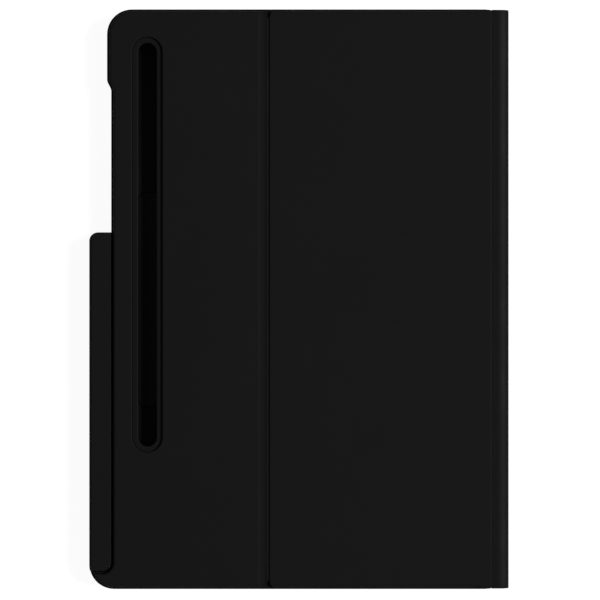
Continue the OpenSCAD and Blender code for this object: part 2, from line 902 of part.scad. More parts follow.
module flap_board() {
  color(shell_black) slab(flap_board_z, cover_z) difference() {
    flap_2d();
    flap_magnets_2d(ring_seam);
  }
}

module flap_magnets() {
  color(steel) slab(flap_board_z, cover_z) flap_magnets_2d();
}

module flap_facing() {
  color(lining_grey) slab(flap_z0, flap_board_z) flap_2d();
}

base_skin();
base_shell();
keyboard_deck();
key_support_plate();
membrane_circuit();
rubber_domes();
membrane_tail();
controller_board();
battery_pack();
battery_lead();
usb_c_socket();
usb_c_tongue();
power_switch_knob();
status_lights();
base_magnets();
touchpad_plate();
touchpad_sensor();
touchpad_click_switch();
key_caps(function_row);  // function_row_keys
key_caps(number_row);  // number_row_keys
key_caps(top_letters);  // top_letter_keys
key_caps(home_letters);  // home_letter_keys
key_caps(bottom_letters);  // bottom_letter_keys
key_cap(backspace);  // backspace_key
key_cap(tab);  // tab_key
key_cap(caps_lock);  // caps_lock_key
key_cap(enter);  // enter_key
key_cap(left_shift);  // left_shift_key
key_cap(right_shift);  // right_shift_key
key_cap(control);  // control_key
key_cap(fn_key);  // function_key
key_cap(command);  // command_key
key_cap(left_alt);  // left_alt_key
key_cap(space);  // space_bar
key_cap(right_alt);  // right_alt_key
key_cap(language);  // language_key
key_cap(left_arrow);  // left_arrow_key
key_cap(up_arrow);  // up_arrow_key
key_cap(down_arrow);  // down_arrow_key
key_cap(right_arrow);  // right_arrow_key
lower_fold_strip();
spine_skin();
spine_board();
spine_facing();
upper_fold_strip();
tray_shell();
tray_lining();
pen_holder();
slot_ring();
back_board();
back_skin();
land_board();
land_skin();
flap_catches();
crease_strip();
flap_skin();
flap_board();
flap_magnets();
flap_facing();
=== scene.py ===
"""Looks for a closed tablet keyboard case: soft skins, moulded tray, cloth facings, keys with
plain legends, and the studio round them. Everything is in metres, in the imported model's frame."""
import math
import bpy
import bmesh
import numpy as np
from mathutils import Matrix, Vector
from mathutils.geometry import delaunay_2d_cdt


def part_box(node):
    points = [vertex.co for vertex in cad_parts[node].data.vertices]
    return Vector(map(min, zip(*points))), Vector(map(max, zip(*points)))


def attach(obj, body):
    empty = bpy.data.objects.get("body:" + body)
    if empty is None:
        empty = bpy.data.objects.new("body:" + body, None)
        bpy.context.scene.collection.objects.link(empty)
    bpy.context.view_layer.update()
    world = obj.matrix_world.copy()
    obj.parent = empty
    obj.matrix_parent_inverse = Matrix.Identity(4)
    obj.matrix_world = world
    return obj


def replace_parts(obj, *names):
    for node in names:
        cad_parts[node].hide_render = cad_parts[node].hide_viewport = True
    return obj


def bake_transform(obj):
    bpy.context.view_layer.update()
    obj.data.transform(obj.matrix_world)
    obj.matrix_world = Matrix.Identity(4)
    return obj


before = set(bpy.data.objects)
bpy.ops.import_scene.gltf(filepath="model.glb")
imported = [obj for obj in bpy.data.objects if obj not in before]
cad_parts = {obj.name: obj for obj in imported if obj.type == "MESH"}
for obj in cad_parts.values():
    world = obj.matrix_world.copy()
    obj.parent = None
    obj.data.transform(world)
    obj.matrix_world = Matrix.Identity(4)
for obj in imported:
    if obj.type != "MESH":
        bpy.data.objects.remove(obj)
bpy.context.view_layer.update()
MM = 0.001
BOXES = {node: np.array(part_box(node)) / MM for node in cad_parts}


def low(node):
    """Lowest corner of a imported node, in millimetres."""
    return BOXES[node][0]


def high(node):
    """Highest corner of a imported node, in millimetres."""
    return BOXES[node][1]


# Sizes in millimetres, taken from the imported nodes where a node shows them
case_x0 = low("pen_holder")[0]
tray_x0, tray_x1 = high("pen_holder")[0], high("flap_skin")[0]
half_l = high("tray_shell")[1]
strip_half = high("land_skin")[1]
cover_half = high("back_skin")[1]
cover_inset = half_l - cover_half
case_h = high("flap_skin")[2]
tray_z1 = low("back_board")[2]
crease_x = high("back_skin")[0]
skin_t = high("base_skin")[2]
flap_x0, flap_z0 = low("flap_facing")[0], low("flap_facing")[2]
land_x1 = high("land_skin")[0]
case_x1 = high("spine_skin")[0]
fold_r = case_x1 - land_x1
holder_y0 = low("pen_holder")[1] - 0.3
corner_r, holder_corner_r = 11, 4
key_field_half = high("number_row_keys")[1] + 1.2
key_pitch = key_field_half / 7.5   # fifteen key widths fill the field
side_key_step, side_key_y, side_key_run = 1.85, half_l - 31, 5.4   # the S-curve beside the side keys
hem_x, hem_w, hem_drop = crease_x - 4.3, 1.4, 0.13   # the small step where the cover's board ends
fold_start = 88.2   # where the skin beside the flap begins to turn down
land_drop = 0.12   # how far its other edge lies below the flap
cover_round, cover_hem = 1.1, 0.3   # how far in a cover's edge turns: outside, and at the crease
slot_r = (high("slot_ring")[0] - low("slot_ring")[0]) / 2
ring_w, ring_sink = 2.6, 1.2   # the ring's width, and its depth below the cover
slot_x = (high("slot_ring")[0] + low("slot_ring")[0]) / 2
slot_y0, slot_y1 = low("slot_ring")[1] + slot_r, high("slot_ring")[1] - slot_r


# ---- Materials ----

class Level:
    """A number that varies over a surface. Sums and products of it add their Math nodes."""

    def __init__(self, paint, socket):
        self.paint, self.socket = paint, socket

    def math(self, operation, *values):
        values = {i: v for i, v in enumerate(values)}
        return self.paint.add("ShaderNodeMath", values, operation=operation)

    def __add__(self, other):
        return self.math("ADD", self, other)

    def __radd__(self, other):
        return self.math("ADD", other, self)

    def __sub__(self, other):
        return self.math("SUBTRACT", self, other)

    def __rsub__(self, other):
        return self.math("SUBTRACT", other, self)

    def __mul__(self, other):
        return self.math("MULTIPLY", self, other)

    def __rmul__(self, other):
        return self.math("MULTIPLY", other, self)

    def ramp(self, from_low, from_high, to_low=0.0, to_high=1.0):
        """The level carried from one range to another, and held at the new range's ends."""
        return self.paint.add(
            "ShaderNodeMapRange", {0: self, 1: from_low, 2: from_high, 3: to_low, 4: to_high})


class Paint:
    """One material. add() takes a node's type, the values or links of its sockets and its settings."""

    def __init__(self, name):
        self.material = bpy.data.materials.new(name)
        self.material.use_nodes = True
        self.tree = self.material.node_tree
        self.tree.nodes.clear()
        self.place = self.add("ShaderNodeTexCoord", {}, output="Object")

    def add(self, kind, values, output=0, **settings):
        node = self.tree.nodes.new(kind)
        for name, value in settings.items():
            setattr(node, name, value)
        for socket, value in values.items():
            if isinstance(value, Level):
                self.tree.links.new(value.socket, node.inputs[socket])
            else:
                node.inputs[socket].default_value = value
        return Level(self, node.outputs[output])

    def noise(self, size, detail=2.0, roughness=0.5, place=None):
        """Soft noise whose lumps are about `size` millimetres across, from 0 to 1."""
        values = {"Vector": place or self.place, "Scale": 1 / (size * MM), "Detail": detail,
                  "Roughness": roughness}
        return self.add("ShaderNodeTexNoise", values)

    def cells(self, size, feature="SMOOTH_F1", place=None):
        """Distance to the nearest of many points about `size` millimetres apart."""
        values = {"Vector": place or self.place, "Scale": 1 / (size * MM)}
        return self.add("ShaderNodeTexVoronoi", values, feature=feature)

    def axis(self, name):
        """One coordinate of the surface, in metres."""
        return self.add("ShaderNodeSeparateXYZ", {0: self.place}, output=name)

    def near_x(self, middle, reach):
        """1 on the line x = middle, falling to 0 at `reach` from it, in millimetres."""
        away = self.axis("X") - middle * MM
        return away.math("ABSOLUTE", away).ramp(0.0, reach * MM, 1.0, 0.0)

    def blend(self, factor, first, second):
        """Colour between two colours."""
        mix = self.tree.nodes.new("ShaderNodeMix")
        mix.data_type = "RGBA"
        for socket, value in ((0, factor), (6, first), (7, second)):
            if isinstance(value, Level):
                self.tree.links.new(value.socket, mix.inputs[socket])
            else:
                mix.inputs[socket].default_value = value
        return Level(self, mix.outputs[2])

    def bump(self, height, depth, under=None):
        """Relief of `depth` millimetres where the height goes from 0 to 1."""
        values = {"Height": height, "Distance": depth * MM, "Strength": 1.0}
        if under is not None:
            values["Normal"] = under
        return self.add("ShaderNodeBump", values)

    def finish(self, **sockets):
        """Joins the shader to the output. Each keyword is a socket of the surface shader."""
        shader = self.tree.nodes.new("ShaderNodeBsdfPrincipled")
        for name, value in sockets.items():
            socket = shader.inputs[name.replace("_", " ")]
            if isinstance(value, Level):
                self.tree.links.new(value.socket, socket)
            else:
                socket.default_value = value
        out = self.tree.nodes.new("ShaderNodeOutputMaterial")
        self.tree.links.new(shader.outputs[0], out.inputs[0])
        return self.material


def grey(value, warm=0.0):
    """A nearly neutral colour, slightly warm or cool."""
    return (value * (1 + warm), value, value * (1 - warm), 1.0)


def soft_skin(name, tone, specular=0.06, painted_shade_x=None, painted_shade_reach=1.8):
    """Soft-touch coated skin: a fine even pebble, faint cloudy tone and slightly rubbed patches.
    Painted shade darkens the colour along a given line of x, where the skin turns down into the crease
    or round the spine."""
    p = Paint(name)
    cloud = p.noise(38, 3.0)
    pebble = p.cells(0.42)
    fine = p.noise(0.22, 2.0)
    rubbed = p.noise(11, 4.0, 0.6).ramp(0.42, 0.75)
    colour = p.blend(cloud, grey(tone * 0.94), grey(tone * 1.07))
    colour = p.blend(rubbed * 0.3, colour, grey(tone * 1.2))
    if painted_shade_x is not None:
        # painted shade: the colour falls to about a third of its tone near the given line
        colour = p.blend(p.near_x(painted_shade_x, painted_shade_reach), colour, grey(tone * 0.32))
    rough = 0.56 + 0.1 * fine - 0.08 * rubbed
    relief = p.bump(pebble * 0.7 + fine * 0.3, 0.018)
    return p.finish(Base_Color=colour, Roughness=rough, Normal=relief, Specular_IOR_Level=specular)


def moulded(name, tone, warm=0.0, specular=0.06, rough=0.5, grain=0.012):
    """Moulded plastic with a fine spark-eroded texture and slight flow marks."""
    p = Paint(name)
    spark = p.noise(0.16, 3.0, 0.65)
    flow = p.noise(24, 2.0)
    colour = p.blend(flow, grey(tone * 0.92, warm), grey(tone * 1.08, warm))
    colour = p.blend(spark.ramp(0.6, 0.8) * 0.4, colour, grey(tone * 1.35, warm))
    level = rough + 0.14 * spark - 0.05 * flow
    return p.finish(Base_Color=colour, Roughness=level, Normal=p.bump(spark, grain),
                    Specular_IOR_Level=specular)


def cloth_facing(name, tone):
    """Brushed microfibre: short nap that lies in soft drifts, with single brighter fibres."""
    p = Paint(name)
    drift = p.noise(16, 3.0, 0.55)
    nap = p.noise(0.3, 4.0, 0.7)
    stretched = p.add("ShaderNodeMapping", {"Vector": p.place, "Scale": (1.0, 3.2, 1.0)})
    fibre = p.noise(0.5, 3.0, 0.7, place=stretched)
    colour = p.blend(drift, grey(tone * 0.82), grey(tone * 1.2))
    colour = p.blend(fibre.ramp(0.55, 0.75) * 0.6, colour, grey(tone * 1.6))
    relief = p.bump(nap * 0.6 + fibre * 0.4, 0.07)
    return p.finish(Base_Color=colour, Roughness=0.9 + 0.08 * nap, Normal=relief,
                    Sheen_Weight=0.35, Sheen_Roughness=0.5, Specular_IOR_Level=0.2)


def brushed_metal(name, tone, rough=0.32, warm=0.0):
    """Sheet metal with fine lines along the case."""
    p = Paint(name)
    drawn = p.add("ShaderNodeMapping", {"Vector": p.place, "Scale": (14.0, 0.6, 14.0)})
    line = p.noise(1.2, 3.0, 0.7, place=drawn)
    stain = p.noise(9, 2.0)
    colour = p.blend(stain, grey(tone * 0.9, warm), grey(tone * 1.05, warm))
    return p.finish(Base_Color=colour, Roughness=rough - 0.1 + 0.22 * line, Metallic=1.0,
                    Normal=p.bump(line, 0.006))


def printed_film(name, base, print_colour, pitch):
    """Clear-coated film printed with fine tracks that run in both directions."""
    p = Paint(name)
    lines = []
    for axis in ("X", "Y"):
        phase = p.axis(axis) * (2 * math.pi / (pitch * MM))
        lines.append(phase.math("SINE", phase).ramp(0.72, 0.86))
    gate = p.noise(pitch * 5, 1.0).ramp(0.48, 0.5)
    track = lines[0] * gate + lines[1] * (1 - gate)
    mottled = p.noise(6, 3.0)
    colour = p.blend(track * 0.8, base, print_colour)
    colour = p.blend(mottled * 0.25, colour, grey(0.02))
    return p.finish(Base_Color=colour, Roughness=0.34 + 0.15 * mottled, Normal=p.bump(track, 0.02))


def rubber_like(name, colour, rough=0.55):
    """Moulded rubber or insulation with a faint bloom."""
    p = Paint(name)
    bloom = p.noise(2.5, 4.0, 0.6)
    pale = tuple(min(1.0, c * 1.25 + 0.01) for c in colour[:3]) + (1.0,)
    mixed = p.blend(bloom, colour, pale)
    return p.finish(Base_Color=mixed, Roughness=rough + 0.15 * bloom, Normal=p.bump(bloom, 0.02))


def foil_pouch(name):
    """Battery pouch: dull foil, crumpled a little."""
    p = Paint(name)
    crumple = p.cells(7)
    speck = p.noise(0.8, 4.0)
    colour = p.blend(crumple, grey(0.16), grey(0.26))
    return p.finish(Base_Color=colour, Roughness=0.3 + 0.2 * speck, Metallic=0.6,
                    Normal=p.bump(crumple, 0.12))


MATERIALS = {
    # Painted shade on both skins: the back's colour is darker along the crease, and the folds' colour
    # along the spine's outer edge
    "back": soft_skin("soft skin of the back", 0.0055, painted_shade_x=crease_x),
    "edge": soft_skin("soft skin of the folds", 0.0055, painted_shade_x=case_x1, painted_shade_reach=2.6),
    "under": soft_skin("soft skin of the underside", 0.005),
    "tray": moulded("tray plastic", 0.004),
    "holder": moulded("pen holder plastic", 0.0058, grain=0.01),
    "ring": moulded("slot ring plastic", 0.0049, rough=0.5),
    "deck": moulded("deck plastic", 0.012, rough=0.52),
    "shell": moulded("base plastic", 0.009, rough=0.5),
    "board": moulded("stiffening board", 0.012, rough=0.7, specular=0.2),
    "key": moulded("key plastic", 0.014, rough=0.46, grain=0.008),
    "pad": moulded("touchpad surface", 0.017, rough=0.34, grain=0.004),
    "knob": moulded("switch plastic", 0.05, rough=0.45),
    "tongue": moulded("socket insert", 0.012, rough=0.4),
    "cloth": cloth_facing("microfibre", 0.03),
    "steel": brushed_metal("sheet steel", 0.55),
    "nickel": brushed_metal("nickel plate", 0.62, rough=0.2, warm=0.03),
    "film": printed_film("membrane film", (0.32, 0.36, 0.33, 1), (0.7, 0.7, 0.72, 1), 2.4),
    "circuit": printed_film("circuit board", (0.006, 0.07, 0.03, 1), (0.03, 0.2, 0.09, 1), 1.1),
    "ribbon": printed_film("ribbon cable", (0.42, 0.2, 0.04, 1), (0.6, 0.36, 0.1, 1), 1.0),
    "dome": rubber_like("silicone rubber", (0.6, 0.6, 0.57, 1)),
    "lead": rubber_like("lead insulation", (0.33, 0.02, 0.015, 1)),
    "pouch": foil_pouch("battery foil"),
    "light": rubber_like("light pipe", (0.68, 0.74, 0.7, 1), 0.15),
    "legend": moulded("legend ink", 0.42, rough=0.6, grain=0.002),
}


# ---- Making pieces ----

def piece(name, vertices, faces, material, body, slot, flat=0):
    """A mesh object from vertices in millimetres. Its place is in its mesh, and it rides on a body.
    The last `flat` faces are shaded flat, so that a round edge beside them keeps its shading."""
    mesh = bpy.data.meshes.new(name)
    mesh.from_pydata((np.asarray(vertices) * MM).tolist(), [], faces)
    thing = placed(name, mesh, material, body)
    if flat:
        smooth = np.arange(len(faces)) < len(faces) - flat
        mesh.polygons.foreach_set("use_smooth", smooth)
    return thing


def placed(name, mesh, material, body):
    """Puts a finished mesh into the scene, smooth shaded, with its material and its body."""
    mesh.polygons.foreach_set("use_smooth", np.ones(len(mesh.polygons), bool))
    mesh.materials.clear()
    mesh.materials.append(MATERIALS[material])
    thing = bpy.data.objects.new(name, mesh)
    bpy.context.scene.collection.objects.link(thing)
    if body:
        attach(thing, body)
    return thing


def merged(thing, reach=0.002):
    """Joins vertices that share a place, in millimetres, and turns every face outward. An edge
    between a smooth and a flat face is kept sharp."""
    work = bmesh.new()
    work.from_mesh(thing.data)
    bmesh.ops.remove_doubles(work, verts=work.verts, dist=reach * MM)
    bmesh.ops.recalc_face_normals(work, faces=work.faces)
    for edge in work.edges:
        if len({face.smooth for face in edge.link_faces}) == 2:
            edge.smooth = False
    work.to_mesh(thing.data)
    work.free()
    return thing


def eased(node, name, width, material, body, wide=None, wide_width=0.0, steps=3, rim=0.0):
    """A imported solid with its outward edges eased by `width` millimetres: its triangles are merged
    into flat faces first. Edges for which wide(ends) is true are eased by wide_width instead.
    A large face gets a border of `rim` millimetres, so that it shades flat beside a round edge."""
    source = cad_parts[node].data
    work = bmesh.new()
    work.from_mesh(source)
    bmesh.ops.remove_doubles(work, verts=work.verts, dist=1e-6)
    bmesh.ops.dissolve_limit(
        work, angle_limit=math.radians(0.6), verts=work.verts, edges=work.edges)
    if rim:
        large = [face for face in work.faces if face.calc_area() > 200 * MM * MM]
        bmesh.ops.inset_individual(work, faces=large, thickness=rim * MM)
    weight = work.edges.layers.float.new("bevel_weight_edge")
    most = max(width, wide_width)
    for edge in work.edges:
        sharp = len(edge.link_faces) == 2 and edge.calc_face_angle(0) > math.radians(32)
        if not sharp:
            continue
        if edge.is_convex:
            ends = np.array([v.co[:] for v in edge.verts]) / MM
            edge[weight] = (wide_width if wide and wide(ends) else width) / most
        else:
            edge.smooth = False
    mesh = bpy.data.meshes.new(name)
    work.to_mesh(mesh)
    work.free()
    thing = placed(name, mesh, material, body)
    bevel = thing.modifiers.new("eased edges", "BEVEL")
    bevel.limit_method = "WEIGHT"
    bevel.width = most * MM
    bevel.segments = steps
    bevel.use_clamp_overlap = False
    bevel.harden_normals = True
    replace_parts(thing, node)
    return thing


def arc(x, y, r, start, end, steps):
    """Points on a circle of radius r round (x, y), from one angle to another, in degrees."""
    a = np.radians(np.linspace(start, end, steps + 1))
    return np.stack([x + r * np.cos(a), y + r * np.sin(a)], 1)


def grid_faces(rows, columns, closed=True):
    """Faces of a grid of rows x columns points, whose columns may close on themselves."""
    r, c = np.meshgrid(np.arange(rows - 1), np.arange(columns if closed else columns - 1),
                       indexing="ij")
    nxt = (c + 1) % columns
    quads = np.stack([r * columns + c, r * columns + nxt, (r + 1) * columns + nxt,
                      (r + 1) * columns + c], -1)
    return quads.reshape(-1, 4).tolist()


def outward(line):
    """For a closed line of points, anticlockwise, the direction that moves each point outward so
    that both of its sides move by one: the mitre of the two sides' normals."""
    ahead = np.roll(line, -1, 0) - line
    ahead /= np.linalg.norm(ahead, axis=1, keepdims=True)
    behind = np.roll(ahead, 1, 0)
    normal = np.stack([ahead[:, 1] + behind[:, 1], -ahead[:, 0] - behind[:, 0]], 1)
    normal /= np.linalg.norm(normal, axis=1, keepdims=True)
    side = np.stack([ahead[:, 1], -ahead[:, 0]], 1)
    return normal / np.maximum(0.35, (normal * side).sum(1))[:, None]


def evened(line, step=8.0):
    """A closed line with points added so that no side is longer than step."""
    parts = []
    for a, b in zip(line, np.roll(line, -1, 0)):
        n = max(1, math.ceil(np.linalg.norm(b - a) / step))
        parts.append(a + (b - a) * (np.arange(n) / n)[:, None])
    return np.concatenate(parts)


def fill(lines, creases=(), keep=None):
    """Triangles that fill the space inside closed lines, with extra lines kept as edges."""
    points, edges = [], []
    for line in lines:
        first = len(points)
        points += [Vector(p) for p in line]
        edges += [(first + i, first + (i + 1) % len(line)) for i in range(len(line))]
    for crease in creases:
        first = len(points)
        points += [Vector(p) for p in crease]
        edges += [(first + i, first + i + 1) for i in range(len(crease) - 1)]
    verts, _, faces, *_ = delaunay_2d_cdt(points, edges, [], 1, 1e-5)
    flat = np.array([v[:] for v in verts])
    faces = np.array([f[:3] for f in faces if len(f) == 3])
    if keep is not None:
        faces = faces[keep(flat[faces].mean(1))]
    return flat, faces


def wrapped_panel(name, line, wide, tall, z_low, top, material, body, slot, hole=None,
                  hole_wide=0.0, hole_tall=0.0, creases=(), steps=7, proud=0.04, border=0.25):
    """A skin drawn over a panel: from z_low its side rises along the outline, turns inward on a
    quarter ellipse, `wide` by `tall`, and runs level with top(x, y). A hole is edged with a quarter
    ellipse in the same way. The underside is closed flat. The skin stands `proud` of the outline,
    and a `border` inside the ellipse keeps its shading off the level face."""
    line = line + outward(line) * proud
    lines = [(line, outward(line), np.broadcast_to(wide, len(line)), np.broadcast_to(tall, len(line)))]
    if hole is not None:
        away = outward(hole) * -1
        lines.append((hole, away, np.full(len(hole), hole_wide), np.full(len(hole), hole_tall)))
    turns = np.radians(np.linspace(0, 90, steps + 1))
    vertices, faces, count, rims = [], [], 0, []
    for n, (edge, out, w, t) in enumerate(lines):
        rings = [np.c_[edge, np.full(len(edge), z_low)]]
        for a in turns:
            flat = edge - out * (w * (1 - math.cos(a)))[:, None]
            rings.append(np.c_[flat, top(flat) - t * (1 - math.sin(a))])
        rims.append(edge - out * (w + border)[:, None])
        rings.append(np.c_[rims[n], top(rims[n])])
        vertices.append(np.concatenate(rings))
        faces += [[i + count for i in (f[::-1] if n else f)]
                  for f in grid_faces(len(rings), len(edge))]
        count += len(vertices[-1])
    flat, triangles = fill(rims, creases, outside_slot(rims[1:]))
    vertices.append(np.c_[flat, top(flat)])
    faces += (triangles + count).tolist()
    count += len(flat)
    edges = [edge for edge, *_ in lines]
    flat, triangles = fill(edges, (), outside_slot(edges[1:]))
    vertices.append(np.c_[flat, np.full(len(flat), z_low)])
    faces += (triangles[:, ::-1] + count).tolist()
    return merged(piece(name, np.concatenate(vertices), faces, material, body, slot,
                        flat=len(triangles)))


def in_slot(points, r):
    """Which points are within r of the slot's middle line."""
    y = np.clip(points[:, 1], slot_y0, slot_y1)
    return np.hypot(points[:, 0] - slot_x, points[:, 1] - y) < r - 1e-3


def level_at(z):
    """A level face at height z, as wrapped_panel's top."""
    return lambda points: np.full(len(points), z)


def outside_slot(holes):
    """A test for points that aren't inside a slot-shaped line, or None where there is no hole."""
    if not holes:
        return None
    r = (holes[0][:, 0].max() - holes[0][:, 0].min()) / 2
    return lambda points: ~in_slot(points, r)


def slot_line(r, steps=24):
    """Slot outline of half-width r: two half circles joined by straight sides."""
    return np.concatenate([arc(slot_x, slot_y0, r, 180, 360, steps),
                           arc(slot_x, slot_y1, r, 0, 180, steps)])


def turned_over(thing, double_height):
    """Turns a mesh upside down in place: each height becomes double_height less that height."""
    places = np.zeros(len(thing.data.vertices) * 3)
    thing.data.vertices.foreach_get("co", places)
    places = places.reshape(-1, 3)
    places[:, 2] = double_height * MM - places[:, 2]
    thing.data.vertices.foreach_set("co", places.ravel())
    thing.data.flip_normals()
    return thing


def closed_sweep(name, path, across, material, body, slot):
    """A closed profile carried along an open path, with flat ends. path is a list of
    (origin, outward direction) in x and z, and across gives each profile point as (y, depth)."""
    origin, normal = (np.array(v, float) for v in zip(*path))
    depth = across[:, 1]
    x = origin[:, 0, None] - normal[:, 0, None] * depth
    z = origin[:, 1, None] - normal[:, 1, None] * depth
    y = np.broadcast_to(across[:, 0], x.shape)
    vertices = np.stack([x, y, z], -1).reshape(-1, 3)
    n = len(across)
    faces = grid_faces(len(path), n)
    faces += [list(range(n))[::-1], list(range(len(vertices) - n, len(vertices)))]
    return merged(piece(name, vertices, faces, material, body, slot, flat=2))


def strip_profile(half, thick, ease, inner=0.08):
    """A strip's cross-section as (y, depth): a long rectangle whose two outer corners are eased by
    quarter circles of radius `ease`, and its inner corners by small ones."""
    corner = np.concatenate([
        arc(-half + ease, ease, ease, 270, 180, 5),
        arc(-half + inner, thick - inner, inner, 180, 90, 2),
        arc(half - inner, thick - inner, inner, 90, 0, 2),
        arc(half - ease, ease, ease, 0, -90, 5)])
    between = np.linspace(half - ease, -half + ease, 40)[1:-1]
    return np.concatenate([corner, np.c_[between, np.zeros(len(between))]])


# ---- Back covers ----

def cover_line(i):
    """Outline of the fixed back cover, drawn in by i: straight sides, two big corners, the S-curve
    to the side keys and the round inner corner over the pen holder's foot."""
    top, foot = half_l - i, holder_y0 - i
    shoulder_x = tray_x0 - side_key_step
    k = np.linspace(1, 0, 15)
    s_curve = np.stack([tray_x0 + i - side_key_step * (1 - np.cos(np.pi * k)) / 2,
                        side_key_y - side_key_run + side_key_run * k], 1)
    big = corner_r - i
    low_y = -half_l + corner_r
    start = 180 + math.degrees(math.asin((low_y - foot) / big))
    foot_corner = arc(case_x0 + corner_r, low_y, big, start, 270, 14)
    # The points next to a sharp corner are left out, because the skin's edge turns in past them
    foot_corner = np.concatenate([foot_corner[:1], foot_corner[3:]])
    stations = np.r_[0, np.linspace(1.3, crease_x - hem_x + 0.5, 17)]
    end = crease_x - (i - cover_inset)
    right = np.c_[end - stations[::-1], np.full(len(stations), -top)]
    left = np.c_[end - stations, np.full(len(stations), top)]
    return np.concatenate([
        foot_corner, right, left,
        arc(shoulder_x + corner_r, half_l - corner_r, big, 90, 180, 20), s_curve,
        arc(tray_x0 - holder_corner_r, holder_y0 + holder_corner_r, holder_corner_r + i, 0, -90, 12),
    ])


def cover_top(points):
    """Height of the fixed cover: level, with a smooth small step down where its board ends."""
    step = np.clip((points[:, 0] - hem_x) / hem_w, 0, 1)
    return case_h - hem_drop * step ** 2 * (3 - 2 * step)


def make_back():
    """The fixed cover with its hem and slot, and the ring in the slot."""
    line = evened(cover_line(cover_inset))
    near_crease = np.clip((line[:, 0] - crease_x + 2) / 1.5, 0, 1)
    wide = cover_round - (cover_round - cover_hem) * near_crease
    wide = np.minimum(wide, 0.25 + 0.35 * np.linalg.norm(line - line[0], axis=1))
    along = np.linspace(-cover_half + 2, cover_half - 2, 9)
    creases = [np.c_[np.full(len(along), x), along] for x in np.linspace(hem_x, hem_x + hem_w, 9)]
    thing = wrapped_panel(
        "back_cover_skin", line, wide, wide * 0.65, tray_z1, cover_top, "back", "tray", "soft_skin",
        hole=slot_line(slot_r + 0.02), hole_wide=0.5, hole_tall=0.16, creases=creases)
    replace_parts(thing, "back_skin", "back_board")

    top = case_h - ring_sink
    # The ring's section, as distance out from the hole and height
    section = np.array([
        [0.0, tray_z1], [0.0, top - 0.3], [0.02, top - 0.14], [0.08, top - 0.05], [0.18, top],
        [0.6, top], [1.4, top], [2.2, top], [2.5, top], [2.57, top - 0.06], [2.57, tray_z1]])
    rings = []
    for out, z in section:
        line = slot_line(slot_r - ring_w + out)
        rings.append(np.c_[line, np.full(len(line), z)])
    rings.append(rings[0])
    ring = piece("slot_ring_moulding", np.concatenate(rings), grid_faces(len(rings), len(line)),
                 "ring", "tray", "shell")
    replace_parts(merged(ring), "slot_ring")


def flap_line():
    """Outline of the stand flap: round corners at the crease, and a free end that is a little
    longer, joined by short S-curves."""
    crease_r, free_r, widening_x, widening_run = 2.7, 1, tray_x1 - 6.7, 2.4
    k = np.linspace(0, 1, 9)
    half = cover_half + (strip_half - cover_half) * (1 - np.cos(np.pi * k)) / 2
    lower = np.concatenate([
        arc(flap_x0 + crease_r, -cover_half + crease_r, crease_r, 180, 270, 8),
        np.c_[widening_x + widening_run * k, -half],
        arc(tray_x1 - free_r, -strip_half + free_r, free_r, 270, 360, 6)])
    return np.concatenate([lower, lower[::-1] * (1, -1)])


def make_flap():
    """The stand flap: the skin turns down over the board, and the facing comes up to meet it."""
    line = evened(flap_line())
    near_crease = np.clip((flap_x0 + 2 - line[:, 0]) / 1.5, 0, 1)
    near_land = np.clip((line[:, 0] - tray_x1 + 2) / 1.5, 0, 1)
    wide = cover_round - (cover_round - cover_hem) * near_crease - 0.55 * near_land
    tall = 0.7 - 0.4 * near_crease - 0.53 * near_land
    seam_z = flap_z0 + 0.95
    skin = wrapped_panel("flap_skin_wrap", line, wide, tall, seam_z, level_at(case_h), "back",
                         "stand_flap", "soft_skin")
    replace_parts(skin, "flap_skin", "flap_board")
    facing = wrapped_panel("flap_facing_wrap", line, 0.4, 0.4, seam_z,
                           level_at(2 * seam_z - flap_z0), "cloth", "stand_flap", "microfibre")
    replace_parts(turned_over(facing, 2 * seam_z), "flap_facing")


# ---- Folds ----

def make_folds():
    """One skin runs from the land, round the spine and under the keyboard. Its two folds, where it
    bends, are pieces of their own that ride on no body.
    """
    across = strip_profile(strip_half, skin_t, 0.35)
    x0 = tray_x1 + 0.03
    lip = 0.12

    def rise(x):
        """Height of the land, which climbs evenly from the flap to where the fold begins."""
        return case_h - land_drop * (1 - min(1, (x - x0) / (fold_start - x0)))

    start = [((x0 + lip * (1 - math.cos(a)), rise(x0) - lip * (1 - math.sin(a))), (0, 1))
             for a in np.radians([0, 30, 60, 90])]
    run = [((x, rise(x)), (0, 1)) for x in np.linspace(x0 + 0.4, fold_start, 6)]
    wide, tall = case_x1 - fold_start, fold_r
    upper_z, lower_z = case_h - fold_r, fold_r

    def ellipse(t):
        """Point and normal of a quarter ellipse, `wide` by `tall`, t from its top to its side."""
        normal = Vector((tall * math.sin(t), wide * math.cos(t))).normalized()
        return ((fold_start + wide * math.sin(t), upper_z + tall * math.cos(t)), tuple(normal))

    split = math.asin((land_x1 - fold_start) / wide)
    run += [ellipse(t) for t in np.linspace(0, split, 7)[1:]]
    land = closed_sweep("land_skin_wrap", start + run, across, "edge", "tray", "soft_skin")
    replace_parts(land, "land_skin")

    bend = np.radians(np.linspace(90, 0, 17))
    upper = [ellipse(t) for t in np.linspace(split, math.pi / 2, 17)]
    lower = [((land_x1 + fold_r * math.cos(a), lower_z - fold_r * math.sin(a)),
              (math.cos(a), -math.sin(a))) for a in bend[::-1]]
    strip = closed_sweep("upper_fold_skin", upper, across, "edge", None, "soft_skin")
    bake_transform(strip)
    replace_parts(strip, "upper_fold_strip")
    strip = closed_sweep("lower_fold_skin", lower, across, "edge", None, "soft_skin")
    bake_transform(strip)
    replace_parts(strip, "lower_fold_strip")
    spine = closed_sweep("spine_skin_wrap", [((case_x1, z), (1, 0)) for z in
                                             np.linspace(upper_z, lower_z, 7)],
                         across, "edge", "spine", "soft_skin")
    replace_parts(spine, "spine_skin")


